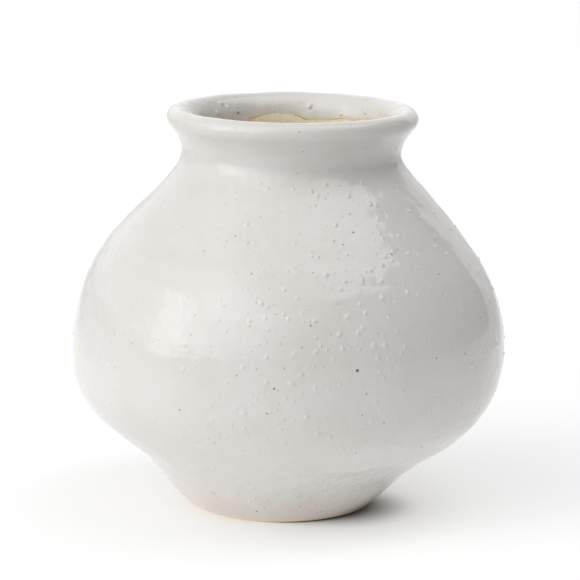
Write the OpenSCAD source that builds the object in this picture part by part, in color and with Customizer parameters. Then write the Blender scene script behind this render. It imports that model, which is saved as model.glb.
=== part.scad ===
// Wheel-thrown stoneware bud vase, white glazed outside and bare clay inside.
// Millimetres, +Z up, origin on the axis at the table. Every piece is turned about +Z.
// Sizes of the outside are finished sizes, measured over the glaze.

/* [Overall] */
// Height from the table to the crest of the lip
vase_h = 125.4; // [115:0.2:152]
// Diameter of the belly, the widest part
belly_d = 134.6; // [118:0.2:162]
// Height of the belly above the table
belly_h = 50.9; // [44:0.1:58]

/* [Foot] */
// Diameter of the outer edge of the bare ring that stands on the table
foot_d = 50; // [42:0.5:60]
// Width of the ring that stands on the table
foot_ring_w = 6; // [4:0.1:9]
// Depth of the recess turned into the underside
recess_h = 3; // [1.5:0.1:5]
// Rise of the wall where it leaves the table, in degrees from level
foot_rise = 34; // [26:0.5:40]
// Height of the waist above the table, where the wall turns out under the belly
waist_h = 23.6; // [20:0.1:27]
// How far the waist stands in from the belly
waist_in = 15.3; // [12:0.1:20]
// Rise of the wall at the waist, in degrees from level
waist_rise = 34; // [30:0.5:42]

/* [Neck and lip] */
// Diameter of the neck at its narrowest
neck_d = 67.6; // [60:0.2:76]
// Depth of the narrowest part of the neck below the crest of the lip
neck_drop = 13.4; // [11:0.1:18]
// Depth of the straight shoulder slope below the narrowest part of the neck
shoulder_drop = 14.9; // [10:0.1:20]
// How far the shoulder slope stands out from the neck
shoulder_out = 10.2; // [7:0.1:13]
// Lean of the shoulder slope, in degrees from level on the far side
shoulder_rise = 132; // [126:0.5:138]
// Diameter of the rolled lip at its widest
lip_d = 77.4; // [70:0.2:90]
// Radius of the rolled outer edge of the lip
lip_r = 3.2; // [2.2:0.1:4]

/* [Walls] */
// Thickness of the clay at the neck
neck_wall = 4; // [3:0.1:6]
// Thickness of the clay at the shoulder
shoulder_wall = 4.4; // [3:0.1:6]
// Thickness of the clay at the belly
belly_wall = 5; // [3.5:0.1:7]
// Thickness of the clay at the waist
waist_wall = 6; // [4:0.1:8]
// Thickness of the clay floor over the recess
floor_t = 6; // [4:0.1:8]

/* [Glaze] */
// Thickness of the fired glaze
glaze_t = 0.6; // [0.4:0.05:1]
// Height at which the glaze starts on the clay, above the table
bare_h = 1.2; // [0.6:0.05:2]
// Depth of the glaze line inside the neck, below the crest of the lip
glaze_line_drop = 7.2; // [5:0.1:10]

/* [Hidden] */
clay_colour = [0.72, 0.63, 0.52];
glaze_colour = [0.90, 0.89, 0.86];
// Straight steps along one stretch of curve, and facets of the drawn preview
steps = 10;
$fn = 96;

// A station is [radius, height, heading of the wall in degrees], taken going up the outside.
// These stations lie on the clay, under the glaze.
glaze_start = [foot_d / 2 + bare_h / tan(foot_rise), bare_h, foot_rise];
waist = [belly_d / 2 - waist_in, waist_h, waist_rise];
belly = [belly_d / 2 - glaze_t, belly_h, 90];
neck = [neck_d / 2 - glaze_t, vase_h - neck_drop, 90];
shoulder = [neck.x + shoulder_out, neck.y - shoulder_drop, shoulder_rise];

// The rolled lip is an arc outside its crest and a quarter ellipse down to the throat inside.
lip_heading = 48;
lip_centre = [lip_d / 2 - lip_r, vase_h - lip_r];
clay_lip_r = lip_r - glaze_t;
throat = set_in(neck, neck_wall);
lip_in = lip_centre.x - throat.x;
lip_up = vase_h - glaze_t - throat.y;
line_angle = asin((vase_h - glaze_line_drop - throat.y) / lip_up);

// Pulls set how far each end of a stretch keeps its heading, as shares of the stretch.
foot_pull = [0.30, 0.50];
belly_low_pull = [0.27, 0.48];
belly_high_pull = [0.46, 0.23];
neck_low_pull = [0.57, 0.24];
neck_high_pull = [0.34, 0.25];
floor_pull = [0.45, 0.35];

// The recess under the foot has a sloped side, and the floor inside curves up into the wall.
recess_slope = 2;
ring_inner_r = foot_d / 2 - foot_ring_w;
floor_edge = [ring_inner_r, recess_h + floor_t, 0];

// A station moved into the clay, square to the wall.
function set_in(s, t) = [s.x - t * sin(s.z), s.y + t * cos(s.z), s.z];
// A point moved out of the clay by the glaze, square to the wall.
function over(s) = [s.x + glaze_t * sin(s.z), s.y - glaze_t * cos(s.z)];
function flat(s) = [s.x, s.y];
function reversed(list) = [for (i = [len(list) - 1:-1:0]) list[i]];

// One stretch of wall: a cubic curve from station a, which it leaves out, to station b.
function stretch(a, b, pull) =
    let (span = norm(flat(b) - flat(a)),
         p0 = flat(a),
         p1 = p0 + pull[0] * span * [cos(a.z), sin(a.z)],
         p3 = flat(b),
         p2 = p3 - pull[1] * span * [cos(b.z), sin(b.z)])
    [for (i = [1:steps])
        let (t = i / steps,
             u = 1 - t,
             p = u * u * u * p0 + 3 * u * u * t * p1 + 3 * u * t * t * p2 + t * t * t * p3,
             d = u * u * (p1 - p0) + 2 * u * t * (p2 - p1) + t * t * (p3 - p2))
        [p.x, p.y, atan2(d.y, d.x)]];

// The outside of the lip, from the neck's curve round to the crest.
function lip_arc() =
    [for (i = [1:steps])
        let (h = lip_heading + (180 - lip_heading) * i / steps)
        [lip_centre.x + clay_lip_r * sin(h), lip_centre.y - clay_lip_r * cos(h), h]];

// The inside of the lip between two angles of its quarter ellipse, 90 at the crest.
function lip_inside(from, to) =
    [for (i = [1:steps])
        let (a = from + (to - from) * i / steps)
        [lip_centre.x - lip_in * cos(a), throat.y + lip_up * sin(a),
         180 + atan2(lip_up * cos(a), lip_in * sin(a))]];

lip_start = [lip_centre.x + clay_lip_r * sin(lip_heading),
             lip_centre.y - clay_lip_r * cos(lip_heading), lip_heading];

// The face between clay and glaze, from the foot up and over the lip to the glaze line.
glazed = concat([glaze_start],
                stretch(glaze_start, waist, foot_pull),
                stretch(waist, belly, belly_low_pull),
                stretch(belly, shoulder, belly_high_pull),
                stretch(shoulder, neck, neck_low_pull),
                stretch(neck, lip_start, neck_high_pull),
                lip_arc(),
                lip_inside(90, line_angle));

// The inner wall, listed upwards from the edge of the floor to the throat.
inner_waist = set_in(waist, waist_wall);
inner_belly = set_in(belly, belly_wall);
inner_shoulder = set_in(shoulder, shoulder_wall);
inner_wall = concat([floor_edge],
                    stretch(floor_edge, inner_waist, floor_pull),
                    stretch(inner_waist, inner_belly, belly_low_pull),
                    stretch(inner_belly, inner_shoulder, belly_high_pull),
                    stretch(inner_shoulder, throat, neck_low_pull));

underside = [[0, recess_h], [ring_inner_r - recess_slope, recess_h], [ring_inner_r, 0], [foot_d / 2, 0]];

// The fired pot: one turned wall with its foot, floor, belly, neck and lip.
module clay_body() {
    color(clay_colour)
        rotate_extrude()
            polygon(concat(underside,
                           [for (s = glazed) flat(s)],
                           [for (s = lip_inside(line_angle, 0)) flat(s)],
                           [for (i = [len(inner_wall) - 2:-1:0]) flat(inner_wall[i])],
                           [[0, floor_edge.y]]));
}

// The glass skin that covers the outside and turns over the lip into the neck.
module glaze_coat() {
    color(glaze_colour)
        rotate_extrude()
            polygon(concat([for (s = glazed) over(s)],
                           [for (s = reversed(glazed)) flat(s)]));
}

clay_body();
glaze_coat();
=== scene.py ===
"""Bud vase: a white glaze skin over a bare stoneware body, on a pale floor in soft studio light.

Both pieces are turned surfaces built row by row around +Z from the same outline as the CAD,
then made uneven the way a hand-thrown pot is. Lengths are in millimetres until a mesh is
written, which is in metres. A turn is an angle about +Z in degrees, 0 at the front (-Y) and
positive towards +X.
"""

import math

import bmesh
import bpy
import numpy as np
from mathutils import Matrix, Vector, kdtree


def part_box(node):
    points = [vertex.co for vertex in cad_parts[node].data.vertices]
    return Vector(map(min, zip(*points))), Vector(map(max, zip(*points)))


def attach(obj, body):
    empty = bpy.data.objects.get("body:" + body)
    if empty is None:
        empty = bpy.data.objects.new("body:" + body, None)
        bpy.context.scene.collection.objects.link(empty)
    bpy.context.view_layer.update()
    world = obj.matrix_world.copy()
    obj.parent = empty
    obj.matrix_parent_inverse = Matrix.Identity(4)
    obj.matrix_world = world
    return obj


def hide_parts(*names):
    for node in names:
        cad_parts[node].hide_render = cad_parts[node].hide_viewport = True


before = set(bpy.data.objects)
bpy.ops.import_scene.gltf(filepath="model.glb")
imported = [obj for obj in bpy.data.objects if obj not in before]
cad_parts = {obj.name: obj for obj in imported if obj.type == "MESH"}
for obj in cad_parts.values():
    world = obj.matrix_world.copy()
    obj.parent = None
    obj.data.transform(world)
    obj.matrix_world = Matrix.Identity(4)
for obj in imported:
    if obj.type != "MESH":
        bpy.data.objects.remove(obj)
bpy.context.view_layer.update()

MM = 0.001
rng = np.random.default_rng(11)

# ---------------------------------------------------------------- sizes

# The frame gives the height, the belly and the glaze. The other sizes are the part's own.
glaze_low, glaze_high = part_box("glaze_coat")
clay_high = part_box("clay_body")[1]
VASE_H = glaze_high.z / MM
BELLY_R = (glaze_high.x - glaze_low.x) / 2 / MM
GLAZE_T = (glaze_high.z - clay_high.z) / MM

FOOT_R = 25.0
FOOT_RING_W = 6.0
RECESS_H = 3.0
RECESS_SLOPE = 2.0
FLOOR_T = 6.0
FOOT_RISE = 34.0
BARE_H = 1.2
WAIST_IN, WAIST_H, WAIST_RISE = 15.3, 23.6, 34.0
BELLY_H = 50.9
NECK_R, NECK_DROP = 33.8, 13.4
SHOULDER_OUT, SHOULDER_DROP, SHOULDER_RISE = 10.2, 14.9, 132.0
LIP_OUT_R, LIP_R, LIP_HEADING = 38.7, 3.2, 48.0
GLAZE_LINE_DROP = 7.2
NECK_WALL, SHOULDER_WALL, BELLY_WALL, WAIST_WALL = 4.0, 4.4, 5.0, 6.0

# Points round each row, and how far apart the rows are: on the wall, at the lip, at the edges of
# the glaze and under it.
COLUMNS = 288
ROW, LIP_ROW, EDGE_ROW, UNDER_ROW = 1.5, 0.5, 0.3, 4.0
# How far the back of the glaze and its two edges are sunk into the clay.
UNDER = 0.08

# ---------------------------------------------------------------- outline


def unit(degrees):
    """The direction of a heading in the (radius, height) plane."""
    return np.array([math.cos(math.radians(degrees)), math.sin(math.radians(degrees))])


def set_in(station, wall):
    """A station (radius, height, heading) moved into the clay, square to the wall."""
    r, z, heading = station
    inward = unit(heading + 90)
    return (r + wall * inward[0], z + wall * inward[1], heading)


def stretch(a, b, pull, steps=48):
    """A cubic curve from station a, which it leaves out, to station b."""
    p0, p3 = np.array(a[:2]), np.array(b[:2])
    span = np.linalg.norm(p3 - p0)
    p1 = p0 + pull[0] * span * unit(a[2])
    p2 = p3 - pull[1] * span * unit(b[2])
    t = np.linspace(0, 1, steps + 1)[1:, None]
    return (1 - t) ** 3 * p0 + 3 * (1 - t) ** 2 * t * p1 + 3 * (1 - t) * t**2 * p2 + t**3 * p3


def lip_arc(steps=24):
    """The outside of the clay lip, from the neck's curve to the crest."""
    h = np.radians(np.linspace(LIP_HEADING, 180, steps + 1)[1:])
    return LIP_CENTRE + (LIP_R - GLAZE_T) * np.stack([np.sin(h), -np.cos(h)], 1)


def lip_inside(start, end, steps=32):
    """The inside of the lip, a quarter ellipse that is 90 at the crest and 0 at the throat."""
    a = np.radians(np.linspace(start, end, steps + 1)[1:])
    return np.stack([LIP_CENTRE[0] - LIP_IN * np.cos(a), THROAT[1] + LIP_UP * np.sin(a)], 1)


def rounded(corners, radius, steps=4):
    """A polyline whose inner corners are eased over radius."""
    out = [corners[0]]
    for before, here, after in zip(corners, corners[1:], corners[2:]):
        before, here, after = map(np.array, (before, here, after))
        to_before = (before - here) / np.linalg.norm(before - here)
        to_after = (after - here) / np.linalg.norm(after - here)
        for t in np.linspace(0, 1, steps + 1):
            a, b = here + radius * to_before * (1 - t), here + radius * to_after * t
            out.append(a + (b - a) * t)
    out.append(corners[-1])
    return np.array(out, float)


class Outline:
    """A polyline in the (radius, height) plane, read by its length."""

    def __init__(self, points):
        self.points = np.array(points, float)
        steps = np.linalg.norm(np.diff(self.points, axis=0), axis=1)
        self.lengths = np.concatenate([[0], np.cumsum(steps)])
        self.total = self.lengths[-1]
        tangent = np.gradient(self.points, self.lengths, axis=0)
        tangent /= np.linalg.norm(tangent, axis=1)[:, None]
        self.normals = np.stack([tangent[:, 1], -tangent[:, 0]], 1)

    def at(self, s):
        """Points and outward normals at lengths s."""
        point = [np.interp(s, self.lengths, self.points[:, i]) for i in (0, 1)]
        normal = np.stack([np.interp(s, self.lengths, self.normals[:, i]) for i in (0, 1)], -1)
        normal /= np.linalg.norm(normal, axis=-1)[..., None]
        return point[0], point[1], normal[..., 0], normal[..., 1]

    def length_at_height(self, z, inside=False):
        """The length at which the wall is at height z, on the outside or inside the neck."""
        use = self.lengths >= CREST_LENGTH if inside else self.lengths <= CREST_LENGTH
        order = np.argsort(self.points[use, 1])
        return np.interp(z, self.points[use, 1][order], self.lengths[use][order])


glaze_start = (FOOT_R + BARE_H / math.tan(math.radians(FOOT_RISE)), BARE_H, FOOT_RISE)
waist = (BELLY_R - WAIST_IN, WAIST_H, WAIST_RISE)
belly = (BELLY_R - GLAZE_T, BELLY_H, 90)
neck = (NECK_R - GLAZE_T, VASE_H - NECK_DROP, 90)
shoulder = (neck[0] + SHOULDER_OUT, neck[1] - SHOULDER_DROP, SHOULDER_RISE)

LIP_CENTRE = np.array([LIP_OUT_R - LIP_R, VASE_H - LIP_R])
THROAT = set_in(neck, NECK_WALL)
LIP_IN = LIP_CENTRE[0] - THROAT[0]
LIP_UP = VASE_H - GLAZE_T - THROAT[1]
LINE_ANGLE = math.degrees(math.asin((VASE_H - GLAZE_LINE_DROP - THROAT[1]) / LIP_UP))
lip_start_point = LIP_CENTRE + (LIP_R - GLAZE_T) * np.array(
    [math.sin(math.radians(LIP_HEADING)), -math.cos(math.radians(LIP_HEADING))]
)
lip_start = (*lip_start_point, LIP_HEADING)

FOOT_PULL, BELLY_LOW_PULL, BELLY_HIGH_PULL = (0.30, 0.50), (0.27, 0.48), (0.46, 0.23)
NECK_LOW_PULL, NECK_HIGH_PULL, FLOOR_PULL = (0.57, 0.24), (0.34, 0.25), (0.45, 0.35)

outside = np.vstack([
    [glaze_start[:2]],
    stretch(glaze_start, waist, FOOT_PULL),
    stretch(waist, belly, BELLY_LOW_PULL),
    stretch(belly, shoulder, BELLY_HIGH_PULL),
    stretch(shoulder, neck, NECK_LOW_PULL),
    stretch(neck, lip_start, NECK_HIGH_PULL),
    lip_arc(),
])
CREST_LENGTH = Outline(outside).total
# The face between clay and glaze, up the outside, over the lip and down to the throat.
face = Outline(np.vstack([outside, lip_inside(90, 0)]))
LINE_LENGTH = Outline(np.vstack([outside, lip_inside(90, LINE_ANGLE)])).total

ring_inner_r = FOOT_R - FOOT_RING_W
floor_edge = (ring_inner_r, RECESS_H + FLOOR_T, 0)
inner_waist = set_in(waist, WAIST_WALL)
inner_belly = set_in(belly, BELLY_WALL)
inner_shoulder = set_in(shoulder, SHOULDER_WALL)
# The bare inside, from the throat down to the middle of the floor.
inside = np.vstack([
    [[0, floor_edge[1]]],
    [floor_edge[:2]],
    stretch(floor_edge, inner_waist, FLOOR_PULL),
    stretch(inner_waist, inner_belly, BELLY_LOW_PULL),
    stretch(inner_belly, inner_shoulder, BELLY_HIGH_PULL),
    stretch(inner_shoulder, THROAT, NECK_LOW_PULL),
])[::-1]
# The recess, the ring the vase stands on and the bare clay up to the glaze.
recess_r = ring_inner_r - RECESS_SLOPE
underside_corners = [(0, RECESS_H), (recess_r, RECESS_H), (ring_inner_r, 0), (FOOT_R, 0), glaze_start[:2]]
underside = rounded(underside_corners, 1.0)

# ---------------------------------------------------------------- unevenness


def ease(x, low, high):
    """0 below low, 1 above high, smooth between."""
    t = np.clip((x - low) / (high - low), 0, 1)
    return t * t * (3 - 2 * t)


def turn_gap(a, b):
    """The difference between two turns, from -180 to 180."""
    return (a - b + 180) % 360 - 180


def through(x, knots):
    """A smooth curve through (x, y) knots, flat beyond both ends."""
    kx, ky = np.array(knots, float).T
    slope = np.gradient(ky, kx)
    slope[0] = slope[-1] = 0
    x = np.clip(x, kx[0], kx[-1])
    i = np.clip(np.searchsorted(kx, x, side="right") - 1, 0, len(kx) - 2)
    h = kx[i + 1] - kx[i]
    t = (x - kx[i]) / h
    return (
        (2 * t**3 - 3 * t**2 + 1) * ky[i]
        + (t**3 - 2 * t**2 + t) * h * slope[i]
        + (3 * t**2 - 2 * t**3) * ky[i + 1]
        + (t**3 - t**2) * h * slope[i + 1]
    )


# How far the wall's centre leans towards +X at each height: the pot was not quite true.
LEAN = [
    (0, -2.0),
    (11, -1.2),
    (22, 1.0),
    (27, 0.8),
    (37, 0.0),
    (52, 0.4),
    (72, 0.0),
    (84, -0.5),
    (102, 0.6),
    (109, 0.5),
    (118, 1.0),
    (125, 0.85),
]
# How far the wall swells out (or in) of its true line low down, where it was trimmed.
SWELL = [
    (0, 0.3),
    (4, 0.1),
    (12, -0.4),
    (17, -0.2),
    (21, 0.35),
    (26, -0.2),
    (32, 0.1),
    (38, 0.12),
    (48, 0.0),
]


class Waves:
    """A sum of smooth waves over turn and height, the same each run."""

    def __init__(self, count, around, along, size):
        self.around = rng.integers(around[0], around[1] + 1, count)
        self.along = rng.uniform(along[0], along[1], count)
        self.phase = rng.uniform(0, 2 * math.pi, count)
        self.size = size * rng.uniform(0.5, 1, count) / math.sqrt(count)

    def __call__(self, turn, z):
        angle = np.radians(turn)
        total = np.zeros_like(angle)
        for a, b, p, size in zip(self.around, self.along, self.phase, self.size):
            total += size * np.sin(a * angle + 2 * math.pi * z / b + p)
        return total


out_of_round = Waves(5, (2, 3), (90, 260), 0.22)
hand_marks = Waves(24, (3, 14), (14, 60), 0.10)
small_marks = Waves(60, (12, 70), (5, 18), 0.04)
throwing_rings = Waves(8, (0, 1), (6, 13), 0.05)
inner_rings = Waves(6, (0, 1), (8, 12), 0.25)


def settle(turn, r, z):
    """The radius and the lean of the uneven pot at a place on the true one."""
    radius = r + ease(z, 0.5, 12) * out_of_round(turn, z) + through(z, SWELL) * ease(r, 20, 25)
    return radius, through(z, LEAN)


def place(turn, r, z):
    """Points in metres from turns, radii and heights in millimetres."""
    radius, lean = settle(turn, r, z)
    angle = np.radians(turn)
    return np.stack([radius * np.sin(angle) + lean, -radius * np.cos(angle), z], -1) * MM


# ---------------------------------------------------------------- meshes


def ring_mesh(rows, columns, closed):
    """Quads between rows of points around +Z.

    Each row is (radius, height, length, over), of which the last two are kept on its points.
    A radius of 0 makes one point. closed joins the last row to the first.
    """
    mesh = bmesh.new()
    length = mesh.verts.layers.float.new("length")
    over = mesh.verts.layers.float.new("over")
    rings = []
    for r, z, s, o in rows:
        turns = [0.0] if r < 1e-6 else [360.0 * i / columns for i in range(columns)]
        ring = []
        for turn in turns:
            angle = math.radians(turn)
            v = mesh.verts.new((r * math.sin(angle), -r * math.cos(angle), z))
            v[length], v[over] = s, o
            ring.append(v)
        rings.append(ring)
    pairs = list(zip(rings, rings[1:])) + ([(rings[-1], rings[0])] if closed else [])
    for low, high in pairs:
        for i in range(columns):
            j = (i + 1) % columns
            corners = [low[i % len(low)], low[j % len(low)]]
            corners += [high[j % len(high)], high[i % len(high)]]
            kept = list(dict.fromkeys(corners))
            if len(kept) > 2:
                mesh.faces.new(kept)
    return mesh


def turn_of(points):
    return np.degrees(np.arctan2(points[:, 0], -points[:, 1]))


def refine(mesh, near, levels):
    """Splits the edges of some faces, level by level. near(centres, level) says which faces."""
    for level in range(levels):
        mesh.faces.ensure_lookup_table()
        centres = np.array([f.calc_center_median() for f in mesh.faces])
        marked = near(centres, level)
        edges = {e for f, hit in zip(mesh.faces, marked) if hit for e in f.edges}
        bmesh.ops.subdivide_edges(mesh, edges=list(edges), cuts=1, use_grid_fill=True)
    wide = [f for f in mesh.faces if len(f.verts) > 4]
    bmesh.ops.triangulate(mesh, faces=wide)


def read(mesh):
    """The place, turn, length and over of every point."""
    mesh.verts.ensure_lookup_table()
    points = np.array([v.co for v in mesh.verts])
    layers = [mesh.verts.layers.float[key] for key in ("length", "over")]
    length, over = (np.array([v[layer] for v in mesh.verts]) for layer in layers)
    return points, turn_of(points), length, over


def finish_mesh(name, mesh, points, attributes):
    """The object, with its points moved to their places in metres."""
    for v, p in zip(mesh.verts, points):
        v.co = p
    bmesh.ops.recalc_face_normals(mesh, faces=mesh.faces[:])
    data = bpy.data.meshes.new(name)
    mesh.to_mesh(data)
    mesh.free()
    for layer in ("length", "over"):
        data.attributes.remove(data.attributes[layer])
    for key, values in attributes.items():
        layer = data.attributes.new(key, "FLOAT", "POINT")
        layer.data.foreach_set("value", np.asarray(values, np.float32))
    data.polygons.foreach_set("use_smooth", [True] * len(data.polygons))
    piece = bpy.data.objects.new(name, data)
    bpy.context.scene.collection.objects.link(piece)
    return piece


# ---------------------------------------------------------------- grog and specks

# Where grog crowds under the glaze: turn, height, spread along each, how many large grains.
GROG_FIELDS = [
    (16, 82, 11, 13, 30),
    (18, 60, 11, 8, 30),
    (34, 94, 8, 8, 12),
    (40, 72, 10, 10, 16),
    (62, 66, 8, 14, 10),
    (-13, 41, 9, 6, 16),
    (-12, 36, 12, 6, 12),
    (-9, 86, 8, 9, 18),
    (-4, 66, 8, 9, 14),
    (10, 40, 14, 6, 14),
    (2, 14, 24, 6, 40),
    (34, 14, 14, 6, 16),
    (62, 90, 8, 14, 14),
    (48, 48, 12, 10, 14),
    (110, 66, 24, 20, 30),
    (175, 76, 26, 18, 30),
    (235, 52, 24, 20, 30),
    (290, 78, 14, 18, 10),
]
GROG_SPREAD_EVENLY = 60
# Large grains placed one by one: turn, height, radius, rise.
GROG = [
    (22.5, 63.0, 1.00, 0.42),
    (25.5, 63.0, 0.90, 0.36),
    (17.0, 106.5, 0.80, 0.30),
    (26.5, 103.0, 0.75, 0.28),
    (12.0, 103.5, 0.75, 0.28),
    (35.5, 100.5, 0.90, 0.32),
    (38.5, 100.0, 0.80, 0.28),
    (12.0, 83.0, 0.85, 0.32),
    (27.5, 76.0, 0.80, 0.30),
    (16.0, 71.5, 0.80, 0.30),
    (13.5, 67.0, 0.85, 0.30),
    (18.5, 67.0, 0.75, 0.28),
    (24.5, 53.5, 0.80, 0.28),
    (31.0, 84.5, 0.80, 0.28),
    (-19.5, 41.0, 0.80, 0.26),
    (-11.0, 43.5, 0.85, 0.26),
]


def pick_grog():
    """Every large grain on the outside as (turn, height, radius, rise)."""
    grains = list(GROG)
    for turn, z, spread_turn, spread_z, count in GROG_FIELDS:
        for _ in range(count):
            size = rng.uniform(0.42, 0.72)
            here = (turn + spread_turn * rng.normal(), z + spread_z * rng.normal())
            grains.append((*here, size, size * rng.uniform(0.35, 0.60)))
    for _ in range(GROG_SPREAD_EVENLY):
        size = rng.uniform(0.4, 0.65)
        here = (rng.uniform(-180, 180), rng.uniform(8, 105))
        grains.append((*here, size, size * rng.uniform(0.2, 0.4)))
    return [g for g in grains if 3 < g[1] < 121]


def grog_crowd(turn, z):
    """How thick the grog lies, from 0 to 1, by turn and height."""
    total = np.zeros(len(turn))
    for field_turn, field_z, spread_turn, spread_z, count in GROG_FIELDS:
        away = (turn_gap(turn, field_turn) / spread_turn) ** 2 + ((z - field_z) / spread_z) ** 2
        total += count / (spread_turn * spread_z) * np.exp(-away / 2)
    return np.clip(total / 0.2, 0, 1)


# The same on the inside of the lip and neck.
INNER_GROG = [
    (170.0, 121.8, 0.95, 0.50),
    (-134.0, 123.0, 0.80, 0.38),
    (-138.0, 122.0, 0.60, 0.30),
    (-128.0, 121.0, 0.70, 0.32),
    (150.0, 119.5, 0.60, 0.30),
    (132.0, 120.5, 0.60, 0.28),
]

# Iron specks placed one by one: turn, height, radius, shade from 0 (ochre) to 1 (black).
SPECKS = [
    (17.5, 56.5, 0.48, 1.0),
    (24.0, 93.5, 0.36, 0.85),
    (19.0, 90.5, 0.30, 0.8),
    (6.0, 69.5, 0.33, 0.75),
    (-3.5, 51.5, 0.36, 0.75),
    (-5.0, 44.0, 0.33, 0.7),
    (-12.5, 5.5, 0.39, 0.85),
    (36.0, 87.0, 0.33, 0.7),
    (51.5, 80.0, 0.33, 0.6),
    (58.5, 94.5, 0.33, 0.55),
    (-19.0, 92.5, 0.33, 0.5),
    (-10.5, 83.0, 0.36, 0.4),
    (39.0, 88.0, 0.36, 0.3),
    (20.0, 49.5, 0.36, 0.3),
    (19.5, 43.0, 0.30, 0.5),
    (26.0, 40.0, 0.33, 0.5),
    (19.5, 30.5, 0.33, 0.5),
    (41.0, 57.5, 0.33, 0.5),
    (52.0, 57.0, 0.33, 0.5),
    (8.0, 83.5, 0.33, 0.3),
    (-8.5, 75.5, 0.42, 0.1),
    (-3.0, 72.5, 0.33, 0.15),
    (-10.0, 69.0, 0.36, 0.1),
    (3.5, 63.5, 0.42, 0.1),
    (-1.0, 57.5, 0.36, 0.15),
    (-8.0, 57.0, 0.36, 0.05),
    (-13.0, 55.0, 0.42, 0.05),
    (-2.5, 51.0, 0.33, 0.0),
    (-28.0, 88.0, 0.42, 0.05),
    (-21.5, 91.0, 0.33, 0.05),
    (-50.5, 52.0, 0.33, 0.1),
    (-44.5, 60.5, 0.30, 0.2),
    (-52.0, 61.5, 0.30, 0.1),
    (-25.5, 71.0, 0.30, 0.1),
    (-24.0, 11.0, 0.30, 0.05),
    (3.0, 123.0, 0.39, 0.15),
    (5.0, 117.0, 0.36, 0.15),
    (-14.0, 106.5, 0.33, 0.1),
]
INNER_SPECKS = [
    (-144.5, 119.8, 0.48, 0.7),
    (-140.0, 118.5, 0.36, 0.5),
    (152.0, 119.2, 0.33, 0.3),
]

# ---------------------------------------------------------------- glaze

# How far the edge of the glaze in the neck runs past its mean depth, by turn from the back.
GLAZE_LINE = [
    (-180, 0.2),
    (-90, 0.8),
    (-35, 1.5),
    (-29, 1.4),
    (-26, 0.3),
    (-20, 0.1),
    (4.5, 0.2),
    (9.5, 1.0),
    (20, 1.0),
    (27, 0.3),
    (40, 0.3),
    (52, -0.8),
    (75, -0.5),
    (120, 0.5),
    (180, 0.2),
]
# The small waves along that edge: size, how many round the neck, phase.
GLAZE_LINE_WAVES = [(0.14, 23, 75), (0.10, 57, 10), (0.08, 83, 30)]


def glaze_line(turn):
    """How far the ragged edge in the neck runs past its mean depth."""
    past = through(turn_gap(180, turn), GLAZE_LINE)
    for size, count, phase in GLAZE_LINE_WAVES:
        past = past + size * np.sin(np.radians(count * turn + phase))
    return past


# The lap where a second dip of glaze ends, low on the front: turn and height, and where it shows.
LAP = [(-14, 20.6), (-1, 21.2), (9, 21.9), (25, 21.7), (36, 22.8), (50, 24.4), (62, 25.2)]
LAP_START, LAP_END = -14, 60


def lap_step(turn, z):
    """The thickness that the second dip adds above its lap, as a share."""
    line = through(turn, LAP)
    shown = ease(turn, LAP_START, LAP_START + 16) * (1 - ease(turn, LAP_END - 14, LAP_END))
    return shown * (ease(z, line - 0.1, line + 0.7) - ease(z, line + 2, line + 9))


def spaced(spans):
    """Lengths spaced evenly within each span (start, end, spacing), and the end of the last."""
    parts = [np.linspace(a, b, max(2, round((b - a) / gap) + 1))[:-1] for a, b, gap in spans]
    return np.concatenate([*parts, [spans[-1][1]]])


def glaze_rows():
    """Rows over the glaze from the foot to the line in the neck, then back under it."""
    end = LINE_LENGTH
    over = spaced([
        (0, 1.8, EDGE_ROW),
        (1.8, CREST_LENGTH - 10, ROW),
        (CREST_LENGTH - 10, CREST_LENGTH + 3, LIP_ROW),
        (CREST_LENGTH + 3, end - 2.7, 0.9),
        (end - 2.7, end, EDGE_ROW),
    ])
    under = spaced([
        (0, 2, 1.0),
        (2, CREST_LENGTH - 10, UNDER_ROW),
        (CREST_LENGTH - 10, end, 1.5),
    ])[-2:0:-1]
    rows = []
    for lengths, side in ((over, 1.0), (under, 0.0)):
        for s in lengths:
            r, z, _, _ = face.at(s)
            rows.append((float(r), float(z), float(s), side))
    return rows


def grain_tree(outer, inner):
    """The places of the grains on the face between clay and glaze, ready to search."""
    tree = kdtree.KDTree(len(outer) + len(inner))
    for i, (turn, z, _, _) in enumerate(outer + inner):
        r, z, _, _ = face.at(face.length_at_height(z, inside=i >= len(outer)))
        angle = math.radians(turn)
        tree.insert((r * math.sin(angle), -r * math.cos(angle), z), i)
    tree.balance()
    return tree


def grog_height(tree, grains, points, over):
    """How far the grains lift each point of the glaze's outer face."""
    height = np.zeros(len(points))
    for i in np.flatnonzero(over > 0.5):
        for _, index, distance in tree.find_range(points[i], 1.4):
            size, rise = grains[index][2:]
            height[i] += rise * max(0.0, 1 - (distance / (1.25 * size)) ** 2) ** 2
    return height


def glaze_thickness(turn, z, from_foot, from_line):
    """Thick at the foot and thinning away in the neck, with both edges just under the clay's face."""
    foot_edge = np.clip(from_foot / 1.1, 0, 1)
    share = np.minimum(np.sqrt(1 - (1 - foot_edge) ** 2), np.clip(from_line / 4.0, 0, 1))
    sunk = UNDER * (1 - ease(np.minimum(from_foot, from_line), 0, 0.5))
    return GLAZE_T * (share + 0.12 * lap_step(turn, z)) - sunk


def surface_marks(turn, z):
    """What hands and tools left on the outside of the wall."""
    return (small_marks(turn, z) + hand_marks(turn, z) + throwing_rings(turn, z)) * ease(z, 1, 8)


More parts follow.
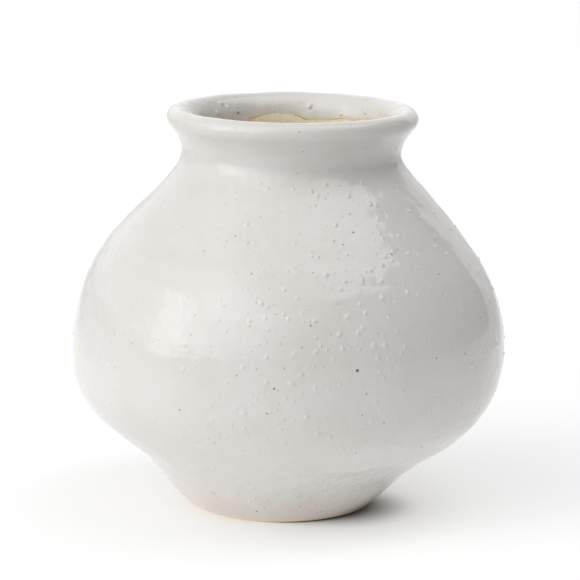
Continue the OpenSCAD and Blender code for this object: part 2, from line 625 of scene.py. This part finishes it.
def make_glaze():
    mesh = ring_mesh(glaze_rows(), COLUMNS, closed=True)
    outer = pick_grog()
    grains = outer + INNER_GROG
    tree = grain_tree(outer, INNER_GROG)

    def near(centres, level):
        reach = (1.9, 1.3)[level]
        found = np.array([tree.find(c)[2] for c in centres]) < reach
        turn = turn_of(centres)
        on_lap = np.abs(centres[:, 2] - through(turn, LAP) - 0.3) < 1.6
        return found | (on_lap & (turn > LAP_START) & (turn < LAP_END) & (level == 0))

    refine(mesh, near, 2)
    points, turn, s, over = read(mesh)

    # The edge in the neck wanders, and the last of the glaze follows it.
    wander = glaze_line(turn)
    s = s + wander * ease(s, LINE_LENGTH - 6, LINE_LENGTH)
    r, z, nr, nz = face.at(s)
    from_foot, from_line = s, LINE_LENGTH + wander - s
    lift = surface_marks(turn, z) * ease(from_line, 0, 4)
    above = glaze_thickness(turn, z, from_foot, from_line) + grog_height(tree, grains, points, over)
    out = lift + np.where(over > 0.5, above, -UNDER)
    points = place(turn, r + nr * out, z + nz * out)
    points[:, 2] = np.maximum(points[:, 2], 0.02 * MM)
    marks = {"from_foot": from_foot, "from_line": from_line, "crowd": grog_crowd(turn, z)}
    return finish_mesh("white_glaze", mesh, points, marks)


# ---------------------------------------------------------------- clay


def hash_noise(turn, s):
    """Uneven values from 0 to 1, the same each run."""
    return np.mod(np.sin(turn * 12.9898 + s * 78.233) * 43758.5453, 1)


def make_clay():
    """The fired pot, from the middle of the underside round to the middle of the floor inside."""
    outline = Outline(np.vstack([underside, face.points[1:], inside[1:]]))
    bare_end = Outline(underside).total
    neck_end = bare_end + face.total
    covered_end = bare_end + LINE_LENGTH - 3
    rows = []
    for s in spaced([
        (0, bare_end - 9, 2.4),
        (bare_end - 9, bare_end, 0.4),
        (bare_end, covered_end - 12, UNDER_ROW),
        (covered_end - 12, covered_end, 1.5),
        (covered_end, neck_end, 0.6),
        (neck_end, neck_end + 12, 1.0),
        (neck_end + 12, outline.total, 2.0),
    ]):
        r, z, _, _ = outline.at(s)
        rows.append((max(float(r), 0.0), float(z), float(s), 0.0))
    mesh = ring_mesh(rows, COLUMNS, closed=False)
    _, turn, s, _ = read(mesh)
    r, z, nr, nz = outline.at(s)
    glazed = (s > bare_end) & (s < neck_end)
    marks = surface_marks(turn, z) * glazed * (1 - ease(s, covered_end, neck_end))
    rings = inner_rings(turn, z) * ease(s, neck_end - 2, neck_end + 10) * ease(r, 4, 16)
    sand = 0.05 * (hash_noise(turn, s) - 0.5) * (s > covered_end) * ease(r, 2, 10)
    lift = marks + rings + sand
    points = place(turn, r + nr * lift, z + nz * lift)
    points[:, 2] = np.maximum(points[:, 2], 0)
    return finish_mesh("stoneware_body", mesh, points, {})


# ---------------------------------------------------------------- materials

GLAZE_COOL, GLAZE_WARM = (0.705, 0.690, 0.662, 1), (0.690, 0.665, 0.640, 1)
GLAZE_MOTTLE, GLAZE_HAZE = (0.60, 0.56, 0.52, 1), (0.36, 0.31, 0.27, 1)
DARKER_NEAR_FOOT, THIN_IN_NECK, GLAZE_EDGE = (0.66, 0.55, 0.46, 1), (0.82, 0.75, 0.64, 1), (0.80, 0.63, 0.39, 1)
SPECK_ORANGE, SPECK_DARK = (0.56, 0.38, 0.21, 1), (0.20, 0.14, 0.11, 1)
PLACED_OCHRE, PLACED_BLACK = (0.60, 0.40, 0.19, 1), (0.03, 0.02, 0.02, 1)
CLAY_BUFF, CLAY_TAN = (0.88, 0.76, 0.54, 1), (0.80, 0.67, 0.46, 1)
CLAY_GRAIN, CLAY_SPECK = (0.90, 0.82, 0.66, 1), (0.42, 0.28, 0.16, 1)
FLOOR_PALE, FLOOR_PALER, FLOOR_FAR_SHADE = (0.62, 0.62, 0.62, 1), (0.64, 0.64, 0.64, 1), (0.24, 0.24, 0.24, 1)
WHITE = (1, 1, 1, 1)


class Nodes:
    """Builds a node tree with short calls. Inputs are given as values or as other nodes' outputs."""

    def __init__(self, tree):
        self.tree = tree
        tree.nodes.clear()

    def add(self, kind, inputs=None, **settings):
        """A node with its inputs set by name or number."""
        node = self.tree.nodes.new(kind)
        for key, value in settings.items():
            setattr(node, key, value)
        for key, value in (inputs or {}).items():
            if isinstance(value, bpy.types.NodeSocket):
                self.tree.links.new(value, node.inputs[key])
            else:
                node.inputs[key].default_value = value
        return node

    def coordinates(self, output="Object"):
        return self.add("ShaderNodeTexCoord").outputs[output]

    def attribute(self, name):
        return self.add("ShaderNodeAttribute", attribute_name=name).outputs["Fac"]

    def split(self, vector):
        """The x, y and z of a vector."""
        return self.add("ShaderNodeSeparateXYZ", {"Vector": vector}).outputs

    def math(self, operation, a, b=0.0):
        return self.add("ShaderNodeMath", {0: a, 1: b}, operation=operation).outputs[0]

    def times(self, a, b):
        return self.math("MULTIPLY", a, b)

    def total(self, values):
        result = 0.0
        for value in values:
            result = self.math("ADD", result, value)
        return result

    def scaled(self, vector, by):
        node = self.add("ShaderNodeVectorMath", {0: vector, 1: by}, operation="MULTIPLY")
        return node.outputs["Vector"]

    def distance(self, a, b):
        return self.add("ShaderNodeVectorMath", {0: a, 1: b}, operation="DISTANCE").outputs["Value"]

    def dot(self, a, b):
        return self.add("ShaderNodeVectorMath", {0: a, 1: b}, operation="DOT_PRODUCT").outputs["Value"]

    def ramp(self, value, low, high, to_low=0.0, to_high=1.0):
        inputs = {0: value, 1: low, 2: high, 3: to_low, 4: to_high}
        return self.add("ShaderNodeMapRange", inputs, interpolation_type="SMOOTHSTEP").outputs[0]

    def mix(self, factor, a, b):
        return self.add("ShaderNodeMix", {0: factor, 6: a, 7: b}, data_type="RGBA").outputs[2]

    def noise(self, at, size, detail=2.0, roughness=0.5):
        """Noise whose features are about size millimetres across."""
        inputs = {"Vector": at, "Scale": 1 / (size * MM), "Detail": detail, "Roughness": roughness}
        return self.add("ShaderNodeTexNoise", inputs).outputs[0]

    def cells(self, at, size):
        """The distance, in cells of about size millimetres, to the nearest point, and its values."""
        node = self.add("ShaderNodeTexVoronoi", {"Vector": at, "Scale": 1 / (size * MM)})
        return node.outputs["Distance"], node.outputs["Color"]

    def bump(self, height, distance):
        inputs = {"Strength": 1.0, "Distance": distance, "Height": height}
        return self.add("ShaderNodeBump", inputs).outputs[0]

    def surface(self, colour, roughness, ior, normal):
        """A principled surface as the material's output."""
        inputs = {"Base Color": colour, "Roughness": roughness, "IOR": ior, "Normal": normal}
        shader = self.add("ShaderNodeBsdfPrincipled", inputs)
        self.add("ShaderNodeOutputMaterial", {"Surface": shader.outputs[0]})


def material(name):
    made = bpy.data.materials.new(name)
    made.use_nodes = True
    return made, Nodes(made.node_tree)


def specks(n, at, cell, radius, share, soft=0.35):
    """1 inside round specks of up to radius millimetres, in a share of the cells, and their values."""
    distance, colour = n.cells(at, cell)
    value = n.add("ShaderNodeSeparateColor", {"Color": colour}).outputs
    kept = n.math("LESS_THAN", value[0], share)
    size = n.ramp(value[1], 0, 1, 0.45 * radius / cell, radius / cell)
    inside = n.math("SUBTRACT", size, distance)
    return n.times(n.ramp(inside, 0, soft * radius / cell), kept), value[2]


def placed_specks(n, at, colour):
    """Adds the specks placed one by one to a colour."""
    for i, (turn, z, radius, shade) in enumerate(SPECKS + INNER_SPECKS):
        s = face.length_at_height(z, inside=i >= len(SPECKS))
        r, z, nr, nz = face.at(np.array([s]))
        spot = place(np.array([turn]), r + nr * GLAZE_T, z + nz * GLAZE_T)[0]
        tint = tuple(a + (b - a) * shade for a, b in zip(PLACED_OCHRE, PLACED_BLACK))
        strength = 0.75 + 0.2 * shade
        near = n.ramp(n.distance(at, tuple(spot)), 1.3 * radius * MM, 0.4 * radius * MM, 0, strength)
        colour = n.mix(near, colour, tint)
    return colour


def glaze_colour(n, at, crowd):
    """White glaze, warmer where it is thin, with iron specks that are orange or dark."""
    height = n.split(at)[2]
    from_foot = n.attribute("from_foot")
    from_line = n.attribute("from_line")

    cloud = n.ramp(n.noise(at, 22), 0.35, 0.65)
    colour = n.mix(cloud, GLAZE_COOL, GLAZE_WARM)
    mottle = n.ramp(n.noise(at, 2.4, 4.0), 0.4, 0.7)
    colour = n.mix(n.times(mottle, 0.08), colour, GLAZE_MOTTLE)

    # The glaze's colour turns darker and warmer towards the foot, over its lowest 17 mm. Thin glaze shows
    # the clay above the line in the neck.
    low = n.times(n.ramp(height, 17 * MM, 2 * MM), n.ramp(n.noise(at, 9), 0.2, 0.8, 0.25, 0.6))
    colour = n.mix(low, colour, DARKER_NEAR_FOOT)
    inner = n.times(n.ramp(from_line, 5.0, 0.6), n.ramp(n.noise(at, 3.0), 0.3, 0.7, 0.08, 0.50))
    colour = n.mix(inner, colour, THIN_IN_NECK)
    edge = n.math("MAXIMUM", n.ramp(from_foot, 1.9, 0.8), n.ramp(from_line, 1.4, 0.1))
    colour = n.mix(n.times(edge, 0.80), colour, GLAZE_EDGE)

    haze, _ = specks(n, at, 2.1, 0.50, n.math("ADD", n.times(crowd, 0.10), 0.06))
    colour = n.mix(n.times(haze, 0.30), colour, GLAZE_HAZE)
    speck, which = specks(n, at, 2.9, 0.34, 0.30)
    tint = n.mix(n.ramp(which, 0.35, 0.75), SPECK_ORANGE, SPECK_DARK)
    colour = n.mix(n.times(speck, n.ramp(which, 0, 1, 0.35, 0.85)), colour, tint)
    return placed_specks(n, at, colour)


def glaze_relief(n, at, crowd):
    """Orange peel, fine lines left by turning, small grog and pinholes, in millimetres."""
    turned = n.scaled(at, (0.12, 0.12, 1.0))
    small_grog, _ = specks(n, at, 1.8, 0.55, n.math("ADD", n.times(crowd, 0.50), 0.12), 0.9)
    pits, _ = specks(n, at, 2.3, 0.30, 0.30, 0.7)
    return n.total([
        n.times(n.noise(at, 2.0, 2.0, 0.6), 0.050),
        n.times(n.noise(at, 3.5, 1.0), 0.10),
        n.times(n.noise(at, 7.0, 1.0), 0.20),
        n.times(n.noise(turned, 1.1, 2.0), 0.028),
        n.times(small_grog, 0.12),
        n.times(pits, -0.12),
    ])


def glaze_material():
    made, n = material("white_glaze")
    at = n.coordinates()
    crowd = n.attribute("crowd")
    rough = n.ramp(n.noise(at, 7), 0.3, 0.7, 0.05, 0.10)
    n.surface(glaze_colour(n, at, crowd), rough, 1.48, n.bump(glaze_relief(n, at, crowd), MM))
    return made


def clay_material():
    made, n = material("bare_clay")
    at = n.coordinates()
    cloud = n.ramp(n.noise(at, 14), 0.3, 0.7)
    colour = n.mix(cloud, CLAY_BUFF, CLAY_TAN)
    grain = n.ramp(n.noise(at, 0.9, 3.0, 0.7), 0.42, 0.62)
    colour = n.mix(n.times(grain, 0.60), colour, CLAY_GRAIN)
    dark, _ = specks(n, at, 1.6, 0.30, 0.35)
    colour = n.mix(n.times(dark, 0.6), colour, CLAY_SPECK)
    relief = n.math("ADD", n.noise(at, 0.8, 4.0, 0.7), n.times(n.noise(at, 3.5), 0.6))
    n.surface(colour, 0.88, 1.45, n.bump(relief, 0.12 * MM))
    return made


def floor_material():
    made, n = material("studio_floor")
    at = n.coordinates()
    colour = n.mix(n.noise(at, 400), FLOOR_PALE, FLOOR_PALER)
    # It is darker far out to both sides and in front: painted shade, standing for less light out there.
    x, y, _ = n.split(at)
    far = n.math("MAXIMUM", n.math("ABSOLUTE", x), n.math("SUBTRACT", 0.06, y))
    colour = n.mix(n.ramp(far, 0.18, 0.42), colour, FLOOR_FAR_SHADE)
    # The glow stops under the foot and fades towards the foot's right side: a painted contact shadow.
    flat = n.scaled(at, (1.0, 1.0, 0.0))
    level = FLOOR_GLOW
    for centre, low, high in FLOOR_SHADE:
        level = n.times(n.ramp(n.distance(flat, centre), low, high), level)
    lit = n.add("ShaderNodeBsdfDiffuse", {"Color": colour, "Roughness": 0.0})
    glow = n.add("ShaderNodeEmission", {"Color": WHITE, "Strength": level})
    shader = n.add("ShaderNodeAddShader", {0: lit.outputs[0], 1: glow.outputs[0]})
    n.add("ShaderNodeOutputMaterial", {"Surface": shader.outputs[0]})
    return made


# ---------------------------------------------------------------- studio

# Soft boxes and walls as patches of the surroundings. Here a turn is measured from straight behind
# the vase, positive towards +X: first turn and its softness, last turn and its softness, lowest and
# highest elevation, brightness.
PATCHES = [
    (-122, 1, -100, 1, -5, 36, 1.28),
    (-42, 14, 40, 1, -30, 46, 0.62),
    (50, 1, 150, 25, 47, 91, 1.90),
]
# Soft pools of light: turn, elevation, brightness.
POOLS = [
    (-120, 8, 2.00),
    (-135, 42, 1.80),
    (-60, 8, 0.65),
    (0, 8, 0.55),
    (45, 42, 0.45),
    (180, 42, 0.30),
    (-90, 42, 0.28),
    (0, 90, 0.45),
]
POOL_TIGHTNESS = 8
# The floor is a light table, faintly lit from within. The light fades around a centre, from one radius down
# to another, as a painted shadow round the foot. Lengths are in metres.
FLOOR_HALF = 6.0
FLOOR_GLOW = 0.38
FLOOR_SHADE = [((0, 0, 0), 0.0245, 0.0265), ((0.014, -0.004, 0), 0.011, 0.030)]


def between(n, up, low, high):
    """1 between two elevations, with edges two degrees wide and none at the top of the sky."""
    above = n.ramp(up, math.sin(math.radians(low - 1)), math.sin(math.radians(low + 1)))
    if high >= 90:
        return above
    below = n.ramp(up, math.sin(math.radians(high + 1)), math.sin(math.radians(high - 1)))
    return n.times(above, below)


def patch(n, look, up, first, first_soft, last, last_soft, low, high, bright):
    """One soft box or wall."""
    a, b = math.radians(first), math.radians(last)
    s, t = math.radians(first_soft), math.radians(last_soft)
    after = n.ramp(n.dot(look, (math.cos(a), -math.sin(a), 0)), -s, s)
    before = n.ramp(n.dot(look, (-math.cos(b), math.sin(b), 0)), -t, t)
    return n.times(n.times(n.times(after, before), between(n, up, low, high)), bright)


def pool(n, look, turn, rise, bright):
    """One soft pool of light."""
    a, e = math.radians(turn), math.radians(rise)
    towards = (math.sin(a) * math.cos(e), math.cos(a) * math.cos(e), math.sin(e))
    power = n.times(n.math("SUBTRACT", n.dot(look, towards), 1), POOL_TIGHTNESS)
    return n.times(n.math("EXPONENT", power), bright)


def make_surroundings():
    world = bpy.data.worlds.new("studio")
    bpy.context.scene.world = world
    world.use_nodes = True
    n = Nodes(world.node_tree)
    look = n.coordinates("Generated")
    up = n.split(look)[2]
    above_floor = n.ramp(up, math.sin(math.radians(-8)), math.sin(math.radians(12)))
    pools = n.total(pool(n, look, *row) for row in POOLS)
    patches = n.total(patch(n, look, up, *row) for row in PATCHES)
    level = n.math("ADD", n.times(pools, above_floor), patches)
    background = n.add("ShaderNodeBackground", {"Color": WHITE, "Strength": level})
    n.add("ShaderNodeOutputWorld", {"Surface": background.outputs[0]})


def make_floor():
    mesh = bmesh.new()
    bmesh.ops.create_grid(mesh, x_segments=8, y_segments=8, size=FLOOR_HALF)
    data = bpy.data.meshes.new("studio_floor")
    mesh.to_mesh(data)
    mesh.free()
    floor = bpy.data.objects.new("studio_floor", data)
    bpy.context.scene.collection.objects.link(floor)
    data.materials.append(floor_material())


# The camera stands in front and above, tipped down, and leans a little to one side.
CAMERA_AT = (0.6, -1000.0, 261.4)
CAMERA_DOWN, CAMERA_LEAN = 10.947, 0.62
CAMERA_LENS, CAMERA_SENSOR = 203.1, 36.0


def make_camera():
    data = bpy.data.cameras.new("camera")
    data.lens, data.sensor_width = CAMERA_LENS, CAMERA_SENSOR
    data.clip_start, data.clip_end = 0.05, 30.0
    camera = bpy.data.objects.new("camera", data)
    bpy.context.scene.collection.objects.link(camera)
    tip = Matrix.Rotation(math.radians(90 - CAMERA_DOWN), 4, "X")
    lean = Matrix.Rotation(math.radians(CAMERA_LEAN), 4, "Z")
    camera.matrix_world = Matrix.Translation(Vector(CAMERA_AT) * MM) @ tip @ lean
    bpy.context.scene.camera = camera


# ---------------------------------------------------------------- scene

make_camera()
make_surroundings()
make_floor()
bpy.context.scene.view_settings.view_transform = "Standard"
bpy.context.scene.view_settings.look = "None"

clay = make_clay()
clay.data.materials.append(clay_material())
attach(clay, "root")
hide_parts("clay_body")

glaze = make_glaze()
glaze.data.materials.append(glaze_material())
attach(glaze, "root")
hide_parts("glaze_coat")

bpy.context.view_layer.update()
